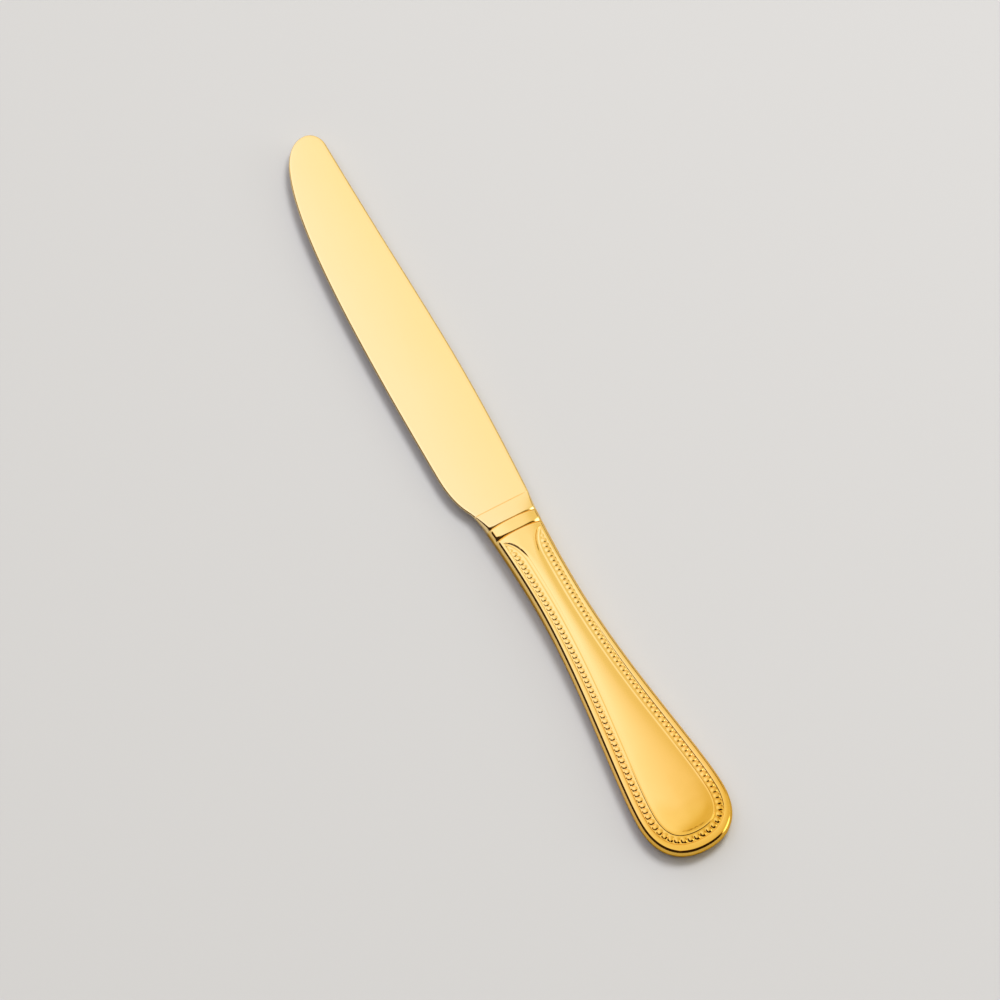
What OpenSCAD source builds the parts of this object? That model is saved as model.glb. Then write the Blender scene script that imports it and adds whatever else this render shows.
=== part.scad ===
// Table knife with a hollow handle and a beaded border, lying on its side.
// Built along X from the butt (x = 0) to the tip, cutting edge towards +Y, mid-plane at z = 0,
// then laid down so that the handle's lower ridge rests on z = 0 below the middle of the part.

/* [Blade] */
// Length of the blade from the foot of the bolster to the tip
blade_length = 125.5; // [90:0.5:150]
// Reach of the cutting edge from the centre line
edge_reach = 11.4; // [9:0.1:14]
// Reach of the spine from the centre line at its fullest
spine_reach = 10.2; // [9:0.1:12]
// Thickness at the spine
spine_thickness = 2.2; // [1.6:0.1:3]
// Thickness at the cutting edge of a blunt table blade
edge_thickness = 0.8; // [0.4:0.1:1.4]
// Drop of the tip from the centre line towards the spine
tip_drop = 5.2; // [2:0.1:7]
// Rise of the spine at the tip, from its fullest reach towards the centre line
tip_rise = 0.6; // [0.3:0.1:1.2]
// Length of the rounded corner between the tip and the spine
tip_corner = 5.3; // [3:0.1:6]
// Length of the heel curve, from the foot of the bolster to the full width
heel_length = 15; // [10:0.5:20]

/* [Bolster and tang] */
// Length of the bolster from its rear face to its foot on the blade
bolster_length = 5.9; // [4.5:0.1:9]
// Width of the neck at the bolster's rear face
neck_width = 14.6; // [13.6:0.1:17]
// Extra flare of each side of the bolster at its foot
bolster_flare = 0.35; // [0:0.05:0.5]
// Thickness of the neck
neck_thickness = 6.8; // [6.6:0.1:8.4]
// Length of the tang behind the bolster
tang_length = 58; // [40:1:75]
// Width of the tang
tang_width = 4.6; // [3.6:0.1:5]
// Thickness of the tang
tang_thickness = 2.4; // [1.8:0.1:2.6]

/* [Collar] */
// Length of the collar band between the two grooves
collar_length = 3.7; // [2.5:0.1:6]
// Length of the spigot that plugs the handle's mouth
spigot_length = 4.2; // [3:0.1:6]
// Depth of the two ring grooves
groove_depth = 0.6; // [0.3:0.05:0.9]
// Half the width of a ring groove at the surface
groove_half_width = 0.6; // [0.4:0.05:0.9]
// Clearance of the spigot in the mouth and of the tang in the collar
fit_clearance = 0.1; // [0.05:0.01:0.2]

/* [Handle] */
// Length of the handle from the butt to its mouth
handle_length = 99.9; // [85:0.1:120]
// Width at the waist, the narrowest place
waist_width = 12.7; // [12:0.1:14]
// Distance of the waist from the mouth
waist_from_mouth = 19.9; // [16:0.1:26]
// Width at the fullest place of the end
end_width = 24.7; // [20:0.1:28]
// Distance of the fullest place from the butt
end_from_butt = 13.5; // [11:0.1:18]
// Thickness over the crown at the fullest place
butt_thickness = 6.2; // [5.4:0.1:7.4]
// Thickness of the rim where it rounds into the side
rim_thickness = 4.6; // [4.2:0.1:5]
// Radius of the rim's rounded corner, measured across the face
rim_corner = 0.8; // [0.6:0.05:1.2]
// Wall of the pressed shells
shell_wall = 0.9; // [0.85:0.05:1.1]

/* [Beaded border] */
// Width of the plain rim outside the border
rim_width = 2; // [1.8:0.05:2.4]
// Width of the channel that the beads stand in
channel_width = 1.7; // [1.6:0.05:1.9]
// Depth of the border below the crowned face
border_depth = 0.4; // [0.2:0.05:0.5]
// Width of the sunk band between the channel and the centre panel
band_width = 1.55; // [1.3:0.05:1.7]
// Length of the curved shoulder where the panel widens to the neck
shoulder_length = 7.8; // [6:0.1:10]
// Distance from the mouth to the start of the shoulder
shoulder_from_mouth = 1.6; // [1.4:0.1:2.4]
// Distance from the start of the shoulder to the first bead
first_bead = 2.2; // [2:0.1:4]
// Pitch of the larger beads, round the end of the handle
large_pitch = 1.66; // [1.6:0.01:2]
// Pitch of the smaller beads, along the waist
small_pitch = 1.48; // [1.4:0.01:1.6]
// Distance from the butt at which the beads change size
bead_change = 44; // [30:1:60]
// Gap between neighbouring beads
bead_gap = 0.16; // [0.1:0.01:0.3]
// Height of the beads' centres over the channel's floor
bead_lift = 0.1; // [0.05:0.01:0.25]

/* [Hidden] */

steel_gold = "#f2cf74";
pale_gold = "#ffe6a5";
cement_grey = "#a8a49a";

mouth_x = handle_length;
neck_x = mouth_x + collar_length;
foot_x = neck_x + bolster_length;
overall_length = foot_x + blade_length;
waist_x = mouth_x - waist_from_mouth;
waist_half = waist_width / 2;
neck_half = neck_width / 2;
end_half = end_width / 2;
rim_half = rim_thickness / 2;
neck_crown = neck_thickness / 2;
butt_crown = butt_thickness / 2;
crown_slope = (neck_crown - butt_crown) / (mouth_x - end_from_butt);
rest_pitch = atan(crown_slope);

// How full the curves are: the share of its run that a curve keeps its end direction
flank_fullness = [0.38, 0.18];
butt_fullness = [0.575, 0.705];
heel_fullness = [0.15, 0.69];
belly_fullness = [0.55, 0.88];
spine_fullness = [0.53, 0.41];
quarter_arc = 0.5523;

// Lines across the border, measured inwards from the outline
panel_inset = rim_width + channel_width + band_width;
step_run = 0.12;
band_share = 0.65;
wall_run = 0.5;
line_gap = 0.02;
shoulder_x = mouth_x - shoulder_from_mouth;

// Lines of the cavity: its drop below the crowned face, and how it rounds into the side
cavity_drop = border_depth + shell_wall;
cavity_columns = [1, 0.96, 0.85, 0.6, 0.3, 0];
cavity_rounding = [0, 0.6, 1, 1, 1, 1];
panel_columns = [1, 0.75, 0.5, 0.25, 0];

// Number of flats along each curve
corner_steps = 4;
ramp_steps = 8;
shoulder_steps = 8;
waist_steps = 4;
flank_steps = 12;
butt_steps = 10;
heel_steps = 12;
belly_steps = 24;
tip_steps = 8;
spine_steps = 16;

// How much the shoulder's lines crowd together where it turns sharply
shoulder_crowding = 1.6;
// How much the bolster's ramp rounds over at the top, where 1 is a straight ramp
ramp_rounding = 1.2;
// How far a cut or an extrusion runs past what it cuts
cut_margin = 1;

// Points on a cubic curve with control points p, and its direction
function curve(p, t) =
    pow(1 - t, 3) * p[0] + 3 * pow(1 - t, 2) * t * p[1] + 3 * (1 - t) * t * t * p[2] + t * t * t * p[3];
function curve_way(p, t) =
    3 * pow(1 - t, 2) * (p[1] - p[0]) + 6 * (1 - t) * t * (p[2] - p[1]) + 3 * t * t * (p[3] - p[2]);
function curve_points(p, steps) = [for (k = [1 : steps]) curve(p, k / steps)];

// Half-width of the neck, from the waist through the collar to the bolster, and its slope
function flare_run(x) = max(0, x - neck_x) / bolster_length;
function neck_reach(x) =
    waist_half + (neck_half - waist_half) * pow((x - waist_x) / (neck_x - waist_x), 2)
    + bolster_flare * pow(flare_run(x), 2);
function neck_reach_slope(x) =
    2 * (neck_half - waist_half) * (x - waist_x) / pow(neck_x - waist_x, 2)
    + 2 * bolster_flare * flare_run(x) / bolster_length;

// Height of the crowned face over the centre line
function crown(x) = butt_crown + crown_slope * (max(x, end_from_butt) - end_from_butt);

flank_run = waist_x - end_from_butt;
flank_curve = [
    [waist_x, waist_half],
    [waist_x - flank_fullness[0] * flank_run, waist_half],
    [end_from_butt + flank_fullness[1] * flank_run, end_half],
    [end_from_butt, end_half]
];
butt_curve = [
    [end_from_butt, end_half],
    [end_from_butt * (1 - butt_fullness[0]), end_half],
    [0, end_half * butt_fullness[1]],
    [0, 0]
];

// A station is a place on the handle's outline:
// [outline point, direction inwards for one millimetre of inset, reach to the middle, crown height]
function neck_station(x) =
    [[x, neck_reach(x)], [0, -norm([1, neck_reach_slope(x)])], neck_reach(x), crown(x)];
function flank_station(t) =
    let (p = curve(flank_curve, t), d = curve_way(flank_curve, t))
    [p, [0, -norm(d) / abs(d.x)], p.y, crown(p.x)];
function butt_station(t) =
    let (p = curve(butt_curve, t), d = curve_way(butt_curve, t))
    [p, [-d.y, d.x] / norm(d), end_half, butt_crown];

// Inset of the panel's edge, which sweeps out to the rim at the shoulder
function shoulder_share(x) = min(1, max(0, (x - shoulder_end) / shoulder_length));
function panel_edge(s) =
    rim_width + (panel_inset - rim_width) * sqrt(1 - pow(shoulder_share(s[0].x), 2));
function border_share(s) = min(1, (panel_edge(s) - rim_width) / wall_run);

// Height of the crowned face at inset v of station s
function face_height(s, v) =
    v <= rim_width ? rim_half
    : rim_half + (s[3] - rim_half) * (1 - pow((s[2] - v) / (s[2] - rim_width), 2));

// How far the mouth's edge is drawn in to make the groove
function mouth_inset(x) = groove_depth * max(0, 1 - (mouth_x - x) / groove_half_width);

// A point at inset v of station s, dropped below the crowned face
function face_point(s, v, drop) =
    let (p = s[0] + v * s[1], q = mouth_inset(s[0].x), z = face_height(s, v) - drop)
    [p.x, p.y * (1 - q / s[2]), z * (1 - q / s[3])];
function corner_point(s, a) =
    let (p = s[0] + rim_corner * (1 - cos(a)) * s[1], q = mouth_inset(s[0].x))
    [p.x, p.y * (1 - q / s[2]), rim_half * sin(a) * (1 - q / s[3])];

// The lines of the border at station s: inset and depth, from the rim to the panel's edge
function border_lines(s) =
    let (
        e = panel_edge(s),
        d = border_depth * border_share(s),
        channel_end = rim_width + channel_width + e - panel_inset
    )
    [
        [rim_width, 0],
        [max(rim_width + line_gap, min(rim_width + step_run, e)), d],
        [max(rim_width + 2 * line_gap, channel_end - step_run), d],
        [max(rim_width + 3 * line_gap, channel_end), d * band_share],
        [max(rim_width + 4 * line_gap, e - wall_run), d * band_share],
        [max(rim_width + 5 * line_gap, e), 0]
    ];
function edge_line(s) = concat(
    [for (k = [0 : corner_steps]) corner_point(s, 90 * k / corner_steps)],
    [for (b = border_lines(s)) face_point(s, b[0], b[1])]
);

// The panel between its two edges, crowned across and rounded off at the end of the handle
function panel_line(s, edge) =
    let (
        q = mouth_inset(s[0].x),
        e = min(1, max(0, (end_from_butt - edge.x) / (end_from_butt - panel_inset))),
        top = edge.z + (s[3] - q - edge.z) * (1 - e * e)
    )
    [for (k = [1 : len(panel_columns) - 1])
        [edge.x, edge.y * panel_columns[k], edge.z + (top - edge.z) * (1 - pow(panel_columns[k], 2))]];

// A line over both sides of the handle, from the half that ends in the middle
function both_sides(half) =
    concat(half, [for (k = [len(half) - 2 : -1 : 0]) [half[k].x, -half[k].y, half[k].z]]);
function outer_row(s) =
    let (side = edge_line(s))
    both_sides(concat(side, panel_line(s, side[len(side) - 1])));

// The cavity's line over station s, drawn in by a clearance
cavity_end = [shell_wall, 0, 0];
function cavity_half(s, clear) =
    let (
        p = s[0] + shell_wall * s[1],
        e = max(0, (end_from_butt - p.x) / (end_from_butt - shell_wall)),
        reach = p.y - clear,
        inner = s[2] - rim_width
    )
    [for (k = [0 : len(cavity_columns) - 1])
        let (
            y = reach * cavity_columns[k],
            share = min(1, e * e + (1 - e * e) * pow(y / inner, 2)),
            z = (rim_half + (s[3] - rim_half) * (1 - share) - cavity_drop) * sqrt(max(0, 1 - e * e))
        )
        [p.x, y, max(0, z * cavity_rounding[k] - clear)]];
function cavity_row(s, clear = 0) = both_sides(cavity_half(s, clear));

// Stations from the mouth to the butt
spigot_x = mouth_x - spigot_length;
mouth_xs = [mouth_x, mouth_x - groove_half_width, shoulder_x];
shoulder_end = shoulder_x - shoulder_length;
shoulder_xs = [for (k = [1 : shoulder_steps])
    shoulder_x - shoulder_length * pow(k / shoulder_steps, shoulder_crowding)];
waist_xs = [for (k = [1 : waist_steps]) shoulder_end + (waist_x - shoulder_end) * k / waist_steps];
before_spigot = [for (x = concat(mouth_xs, shoulder_xs)) if (x > spigot_x + line_gap) x];
after_spigot = [for (x = concat(mouth_xs, shoulder_xs, waist_xs)) if (x < spigot_x - line_gap) x];
spigot_stations = [for (x = concat(before_spigot, [spigot_x])) neck_station(x)];
load_stations = concat(
    [for (x = concat([spigot_x], after_spigot)) neck_station(x)],
    [for (k = [1 : flank_steps]) flank_station(k / flank_steps)],
    [for (k = [1 : butt_steps]) butt_station(k / butt_steps)]
);
stations = concat([for (x = before_spigot) neck_station(x)], load_stations);

// Triangles between two lines of point numbers, leaving out those that close to nothing
function apart(f) = f[0] != f[1] && f[1] != f[2] && f[2] != f[0];
function strip(a, b) = [
    for (k = [0 : len(a) - 2])
        for (f = [[a[k], a[k + 1], b[k + 1]], [a[k], b[k + 1], b[k]]])
            if (apart(f)) f
];
function reversed(faces) = [for (f = faces) [f[2], f[1], f[0]]];
function joined(lists) = [for (l = lists) for (e = l) e];

// Triangles across the flat ring between two lines seen from the centre, taken in turn by angle
function turn(p) = atan2(p.z, p.y);
function ring_faces(points, a, b, i = 0, j = 0) =
    i == len(a) - 1 && j == len(b) - 1 ? []
    : j == len(b) - 1 || (i < len(a) - 1 && turn(points[a[i + 1]]) <= turn(points[b[j + 1]]))
        ? concat([[a[i], a[i + 1], b[j]]], ring_faces(points, a, b, i + 1, j))
        : concat([[a[i], b[j + 1], b[j]]], ring_faces(points, a, b, i, j + 1));

// One pressed half of the handle, without its beads
module shell_blank() {
    last = len(stations) - 1;
    rows = [for (k = [0 : last - 1]) outer_row(stations[k])];
    wide = len(rows[0]);
    tip_line = edge_line(stations[last]);
    inner_rows = [for (k = [0 : last - 1]) cavity_row(stations[k])];
    deep = len(inner_rows[0]);
    points = concat(joined(rows), tip_line, joined(inner_rows), [cavity_end]);
    inner_start = last * wide + len(tip_line);
    outer = concat(
        [for (k = [0 : last - 1]) [for (c = [0 : wide - 1]) k * wide + c]],
        [[for (c = [0 : wide - 1]) last * wide + min(c, wide - 1 - c, len(tip_line) - 1)]]
    );
    inner = concat(
        [for (k = [0 : last - 1]) [for (c = [0 : deep - 1]) inner_start + k * deep + c]],
        [[for (c = [0 : deep - 1]) inner_start + last * deep]]
    );
    faces = concat(
        joined([for (k = [0 : last - 1]) strip(outer[k], outer[k + 1])]),
        reversed(joined([for (k = [0 : last - 1]) strip(inner[k], inner[k + 1])])),
        joined([for (k = [0 : last - 1]) strip(
            [outer[k + 1][0], inner[k + 1][0]],
            [outer[k][0], inner[k][0]]
        )]),
        joined([for (k = [0 : last - 1]) strip(
            [outer[k][wide - 1], inner[k][deep - 1]],
            [outer[k + 1][wide - 1], inner[k + 1][deep - 1]]
        )]),
        reversed(ring_faces(points, outer[0], inner[0]))
    );
    polyhedron(points, faces);
}

// A solid through closed rings of the same number of points, from a flat end or a single point
module loft(rings, start_point = []) {
    last = len(rings) - 1;
    wide = len(rings[0]);
    points = concat(joined(rings), start_point);
    loop = [for (k = [0 : last]) concat([for (c = [0 : wide - 1]) k * wide + c], [k * wide])];
    start_faces = len(start_point) == 0
        ? [for (c = [1 : wide - 2]) [0, c, c + 1]]
        : [for (c = [0 : wide - 1]) [len(points) - 1, loop[0][c], loop[0][c + 1]]];
    faces = concat(
        joined([for (k = [0 : last - 1]) strip(loop[k + 1], loop[k])]),
        start_faces,
        [for (c = [1 : wide - 2]) [last * wide + c + 1, last * wide + c, last * wide]]
    );
    polyhedron(points, faces);
}
function closed_ring(row) =
    concat(row, [for (k = [len(row) - 2 : -1 : 1]) [row[k].x, row[k].y, -row[k].z]]);

// A plain crowned section of the neck at x, drawn in by q, as a ring
function neck_ring(x, rim, top, q) =
    let (
        reach = neck_reach(x),
        corner = [for (k = [0 : corner_steps]) let (a = 90 * k / corner_steps)
            [x, reach - rim_corner * (1 - cos(a)), rim * sin(a)]],
        face = [for (c = panel_columns) [x, (reach - rim_width) * c, rim + (top - rim) * (1 - c * c)]]
    )
    closed_ring([for (p = both_sides(concat(corner, face)))
        [x, p.y * (1 - q / reach), p.z * (1 - q / top)]]);
function collar_ring(x, q) = neck_ring(x, rim_half, neck_crown, q);

// Outline of the blade, with its heel, belly, rounded tip and spine, from a root inside the bolster
root_x = foot_x - bolster_length / 2;
root_half = neck_reach(root_x) - rim_corner;
foot_half = neck_reach(foot_x);
heel_x = foot_x + heel_length;
heel_start = heel_length * heel_fullness[0];
heel_curve = [
    [foot_x, foot_half],
    [foot_x + heel_start, foot_half + heel_start * neck_reach_slope(foot_x)],
    [heel_x - heel_length * heel_fullness[1], edge_reach],
    [heel_x, edge_reach]
];
belly_run = overall_length - heel_x;
belly_curve = [
    [heel_x, edge_reach],
    [heel_x + belly_run * belly_fullness[0], edge_reach],
    [overall_length, edge_reach - (edge_reach + tip_drop) * (1 - belly_fullness[1])],
    [overall_length, -tip_drop]
];
spine_start = overall_length - tip_corner;
spine_end = spine_reach - tip_rise;
tip_curve = [
    [overall_length, -tip_drop],
    [overall_length, -tip_drop - quarter_arc * (spine_end - tip_drop)],
    [overall_length - tip_corner * (1 - quarter_arc), -spine_end],
    [spine_start, -spine_end]
];
// The third point brings the middle of the curve to the spine's full reach
spine_run = spine_start - foot_x;
spine_curve = [
    [spine_start, -spine_end],
    [spine_start - spine_run * spine_fullness[0], -spine_end],
    [foot_x + spine_run * spine_fullness[1], (4 * spine_end + foot_half - 8 * spine_reach) / 3],
    [foot_x, -foot_half]
];
blade_outline = concat(
    [[root_x, -root_half], [root_x, root_half], [foot_x, foot_half]],
    curve_points(heel_curve, heel_steps),
    curve_points(belly_curve, belly_steps),
    curve_points(tip_curve, tip_steps),
    curve_points(spine_curve, spine_steps)
);

// Half the thickness of the wedge-shaped blade at y
function blade_half(y) =
    let (share = (y + spine_reach) / (spine_reach + edge_reach))
    (spine_thickness + (edge_thickness - spine_thickness) * share) / 2;

module blade_plate() {
    from = -spine_reach - cut_margin;
    to = edge_reach + cut_margin;
    intersection() {
        linear_extrude(2 * spine_thickness, center = true)
            polygon(blade_outline);
        translate([root_x - cut_margin, 0, 0])
            rotate([90, 0, 90])
                linear_extrude(overall_length - root_x + 2 * cut_margin)
                    polygon([
                        [from, -blade_half(from)],
                        [to, -blade_half(to)],
                        [to, blade_half(to)],
                        [from, blade_half(from)]
                    ]);
    }
}

// The bolster swells from the blade to the neck's full thickness
module bolster() {
    top_x = neck_x + groove_half_width;
    foot_top = blade_half(0);
    loft(concat(
        [collar_ring(neck_x, groove_depth)],
        [for (k = [0 : ramp_steps])
            let (swell = 1 - pow(k / ramp_steps, ramp_rounding))
            neck_ring(
                top_x + (foot_x - top_x) * k / ramp_steps,
                foot_top + (rim_half - foot_top) * swell,
                foot_top + (neck_crown - foot_top) * swell,
                0
            )]
    ));
}

module tang() {
    half = tang_width / 2;
    chamfer = tang_thickness / 2;
    back = neck_x - tang_length;
    front = neck_x + bolster_length / 2;
    linear_extrude(tang_thickness, center = true)
        polygon([
            [back, chamfer - half],
            [back + chamfer, -half],
            [front, -half],
            [front, half],
            [back + chamfer, half],
            [back, half - chamfer]
        ]);
}

// The part as it lies: the handle's lower ridge on z = 0
module laid() {
    translate([
        -overall_length * cos(rest_pitch) / 2,
        0,
        butt_crown * cos(rest_pitch) - end_from_butt * sin(rest_pitch)
    ])
        rotate([0, -rest_pitch, 0])
            children();
}

// Beads along one side of the border, on the channel's floor, from the butt to the neck
bead_path_steps = 40;
first_bead_x = shoulder_x - first_bead;
bead_stations = concat(
    [for (k = [bead_path_steps : -1 : 1]) butt_station(k / bead_path_steps)],
    [for (k = [bead_path_steps : -1 : 1]) flank_station(k / bead_path_steps)],
    [for (k = [0 : bead_path_steps])
        neck_station(waist_x + (first_bead_x - waist_x) * k / bead_path_steps)]
);
function bead_place(s) =
    let (lines = border_lines(s), v = (lines[1][0] + lines[2][0]) / 2)
    face_point(s, v, lines[1][1]);
bead_path = [for (s = bead_stations) bead_place(s)];
bead_room = [for (s = bead_stations) let (l = border_lines(s)) l[2][0] - l[1][0] + 2 * step_run];
function run_lengths(p, k = 1, sum = 0, out = [0]) =
    k == len(p) ? out
    : let (next = sum + norm(p[k] - p[k - 1])) run_lengths(p, k + 1, next, concat(out, [next]));
bead_run = run_lengths(bead_path);
function along(values, d) =
    let (k = max([for (n = [0 : len(bead_run) - 2]) if (bead_run[n] <= d) n]))
    values[k] + (values[k + 1] - values[k]) * (d - bead_run[k]) / (bead_run[k + 1] - bead_run[k]);
function bead_distances(d = 0, out = []) =
    d > bead_run[len(bead_run) - 1] ? out
    : bead_distances(
        d + (along(bead_path, d).x < bead_change ? large_pitch : small_pitch),
        concat(out, [d])
    );

module beads() {
    for (d = bead_distances()) {
        p = along(bead_path, d);
        pitch = p.x < bead_change ? large_pitch : small_pitch;
        r = min(pitch - bead_gap, along(bead_room, d)) / 2;
        for (side = d == 0 ? [1] : [1, -1])
            translate([p.x, side * p.y, p.z + bead_lift])
                sphere(r = r, $fn = 24);
    }
}

module half_shell() {
    union() {
        shell_blank();
        beads();
    }
}

module blade() {
    color(pale_gold)
        laid()
            union() {
                blade_plate();
                bolster();
                tang();
            }
}

module tang_slot() {
    from = spigot_x - cut_margin;
    wide = tang_width + 2 * fit_clearance;
    high = tang_thickness + 2 * fit_clearance;
    translate([from, -wide / 2, -high / 2])
        cube([neck_x + cut_margin - from, wide, high]);
}

module collar() {
    spigot_root = closed_ring(cavity_row(spigot_stations[0], fit_clearance));
    color(steel_gold)
        laid()
            difference() {
                union() {
                    loft([
                        collar_ring(mouth_x, groove_depth),
                        collar_ring(mouth_x + groove_half_width, 0),
                        collar_ring(neck_x - groove_half_width, 0),
                        collar_ring(neck_x, groove_depth)
                    ]);
                    loft(concat(
                        [for (k = [len(spigot_stations) - 1 : -1 : 0])
                            closed_ring(cavity_row(spigot_stations[k], fit_clearance))],
                        [[for (p = spigot_root) [mouth_x + collar_length / 2, p.y, p.z]]]
                    ));
                }
                tang_slot();
            }
}

module front_shell() {
    color(steel_gold)
        laid()
            half_shell();
}

module back_shell() {
    color(steel_gold)
        laid()
            mirror([0, 0, 1])
                half_shell();
}

module handle_filling() {
    last = len(load_stations) - 1;
    color(cement_grey)
        laid()
            difference() {
                loft(
                    [for (k = [last - 1 : -1 : 0]) closed_ring(cavity_row(load_stations[k]))],
                    [cavity_end]
                );
                tang();
            }
}

blade();
collar();
front_shell();
back_shell();
handle_filling();
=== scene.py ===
import math

import bmesh
import bpy
import numpy as np
from mathutils import Matrix, Vector


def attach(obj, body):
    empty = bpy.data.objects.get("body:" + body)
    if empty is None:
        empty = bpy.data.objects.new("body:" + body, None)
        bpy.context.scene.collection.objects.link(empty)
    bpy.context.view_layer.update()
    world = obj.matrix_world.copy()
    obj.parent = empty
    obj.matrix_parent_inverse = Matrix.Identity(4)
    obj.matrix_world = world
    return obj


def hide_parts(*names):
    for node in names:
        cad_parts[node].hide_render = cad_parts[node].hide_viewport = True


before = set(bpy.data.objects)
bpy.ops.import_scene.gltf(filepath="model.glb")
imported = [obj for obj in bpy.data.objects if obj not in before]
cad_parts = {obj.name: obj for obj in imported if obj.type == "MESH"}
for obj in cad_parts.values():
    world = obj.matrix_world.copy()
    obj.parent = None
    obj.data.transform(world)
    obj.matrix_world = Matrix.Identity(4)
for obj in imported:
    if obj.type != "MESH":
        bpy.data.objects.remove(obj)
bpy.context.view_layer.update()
mm = 0.001
print("frame loaded:", ", ".join(sorted(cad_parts)))

# The knife is drawn in mm along x from the butt (x = 0) to the tip, cutting edge to +y, mid-plane at z = 0,
# and then laid on its side as the frame has it.

# handle: two pressed halves, crowned across, with a waist and a round end
handle = {
    "length": 99.9,                   # butt to mouth
    "waistWidth": 12.8,
    "waistFromMouth": 19.9,
    "endWidth": 24.7,
    "endFromButt": 13.5,              # fullest place
    "buttThickness": 6.2,
    "buttSide": {                     # the side of each half near the butt
        "tilts": (90, 60, 30, 9),     # degrees, from the upright side over a soft bevel to the rim
        "radii": (2.3, 1.6, 0.35),    # rounding between them
        "height": 1.83,               # of the rim's outer edge
    },
    "neckSide": {                     # and towards the neck, where it is taller
        "tilts": (90, 57, 33, 10),
        "radii": (2.2, 1.8, 0.3),
        "height": 2.7,
    },
    "sideChange": (42.0, 86.0),       # x between which the one turns into the other
    "rimCurve": (0.16, 0.13),         # slope of the rim at its outer edge, and how it bends over
    "wall": 0.9,
    "flankFullness": (0.38, 0.18),    # how long the outline's curves keep their end directions
    "buttFullness": (0.575, 0.705),
}

# neck: bolster, collar band and the grooves on both sides of the band
neck = {
    "width": 14.6,                    # at the bolster's rear face
    "thickness": 6.8,
    "collarLength": 3.7,
    "spigotLength": 4.2,
    "bolsterLength": 5.9,
    "bolsterFlare": 0.35,             # of each side at the bolster's foot
    "archPower": 3.0,                 # 2 is a round arch, more is flatter on top
    "blendLength": 15.0,              # where the handle's flat border turns into the neck's arch
    "grooveTop": (0.28, 0.25),        # half width and depth of the grooves on top
    "grooveSide": (1.3, 0.95),        # and at the sides, where they open out
    "grooveSpread": 2.6,              # more keeps the opening closer to the sides
    "groovePower": 1.3,               # 1 is a V, more softens its lips
    "grooveRows": 16,                 # rows of points on each side of a groove
    "bolsterGroove": 1.3,             # the bolster's side of its groove is this much steeper
    "fitClearance": 0.1,
    "rampRounding": 1.06,             # 1 is a straight ramp
    "rampFoot": (0.94, 0.13),         # the last of the ramp is steeper: where it starts, and its height
    "leastSwell": 0.05,               # keeps some of the side's bevel at the foot
}

mouthX = handle["length"]
neckX = mouthX + neck["collarLength"]
footX = neckX + neck["bolsterLength"]
waistX = mouthX - handle["waistFromMouth"]
waistHalf = handle["waistWidth"] / 2
neckHalf = neck["width"] / 2
endHalf = handle["endWidth"] / 2
neckCrown = neck["thickness"] / 2
buttCrown = handle["buttThickness"] / 2
crownSlope = (neckCrown - buttCrown) / (mouthX - handle["endFromButt"])
# mm that the drawn faces stay inside the solids, at the sides and on top
sideHair, topHair = 0.015, 0.003


def cubic(points, t):
    p = np.asarray(points, float)
    t = np.atleast_1d(t)[:, None]
    return (1 - t) ** 3 * p[0] + 3 * (1 - t) ** 2 * t * p[1] + 3 * (1 - t) * t ** 2 * p[2] + t ** 3 * p[3]


def cubicWay(points, t):
    p = np.asarray(points, float)
    t = np.atleast_1d(t)[:, None]
    return 3 * (1 - t) ** 2 * (p[1] - p[0]) + 6 * (1 - t) * t * (p[2] - p[1]) + 3 * t ** 2 * (p[3] - p[2])


def ease(start, end, u):
    t = np.clip((u - start) / (end - start), 0, 1)
    return t * t * (3 - 2 * t)


def flareRun(x):
    return np.maximum(0, x - neckX) / neck["bolsterLength"]


def neckReach(x):
    along = (x - waistX) / (neckX - waistX)
    return waistHalf + (neckHalf - waistHalf) * along ** 2 + neck["bolsterFlare"] * flareRun(x) ** 2


def neckSlope(x):
    along = 2 * (neckHalf - waistHalf) * (x - waistX) / (neckX - waistX) ** 2
    return along + 2 * neck["bolsterFlare"] * flareRun(x) / neck["bolsterLength"]


def crown(x):
    return buttCrown + crownSlope * (np.maximum(x, handle["endFromButt"]) - handle["endFromButt"])


def grooveInset(distance, spread):
    (topHalf, topDepth), (sideHalf, sideDepth) = neck["grooveTop"], neck["grooveSide"]
    half = topHalf + (sideHalf - topHalf) * spread ** neck["grooveSpread"]
    depth = topDepth + (sideDepth - topDepth) * spread ** neck["grooveSpread"]
    g = np.clip(1 - distance / half, 0, 1)
    return depth * g ** neck["groovePower"]


# Laying the knife down: the handle's lower ridge rests on the floor, and the middle of the knife's length
# comes over the origin
restPitch = math.atan(crownSlope)
overallLength = 235.0                                           # butt to tip
lay = (
    Matrix.Translation((
        -math.cos(restPitch) * overallLength / 2 * mm,
        0,
        (buttCrown * math.cos(restPitch) - handle["endFromButt"] * math.sin(restPitch)) * mm,
    ))
    @ Matrix.Rotation(-restPitch, 4, "Y")
    @ Matrix.Scale(mm, 4)
)


def linear(hexColour):
    parts = [int(hexColour[k:k + 2], 16) / 255 for k in (1, 3, 5)]
    return tuple(c / 12.92 if c <= 0.04045 else ((c + 0.055) / 1.055) ** 2.4 for c in parts) + (1.0,)


def addNode(tree, kind, settings=None, inputs=None, links=None):
    node = tree.nodes.new(kind)
    for name, value in (settings or {}).items():
        setattr(node, name, value)
    for name, value in (inputs or {}).items():
        node.inputs[name].default_value = value
    for name, (source, output) in (links or {}).items():
        tree.links.new(source.outputs[output], node.inputs[name])
    return node


def fillRamp(node, stops):
    node.color_ramp.elements.remove(node.color_ramp.elements[1])
    for k, (place, colour) in enumerate(stops):
        stop = node.color_ramp.elements[0] if k == 0 else node.color_ramp.elements.new(place)
        stop.position = place
        stop.color = linear(colour)


noiseLow, noiseHigh = 0.3, 0.7                                  # most of a noise texture lies between these


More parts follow.
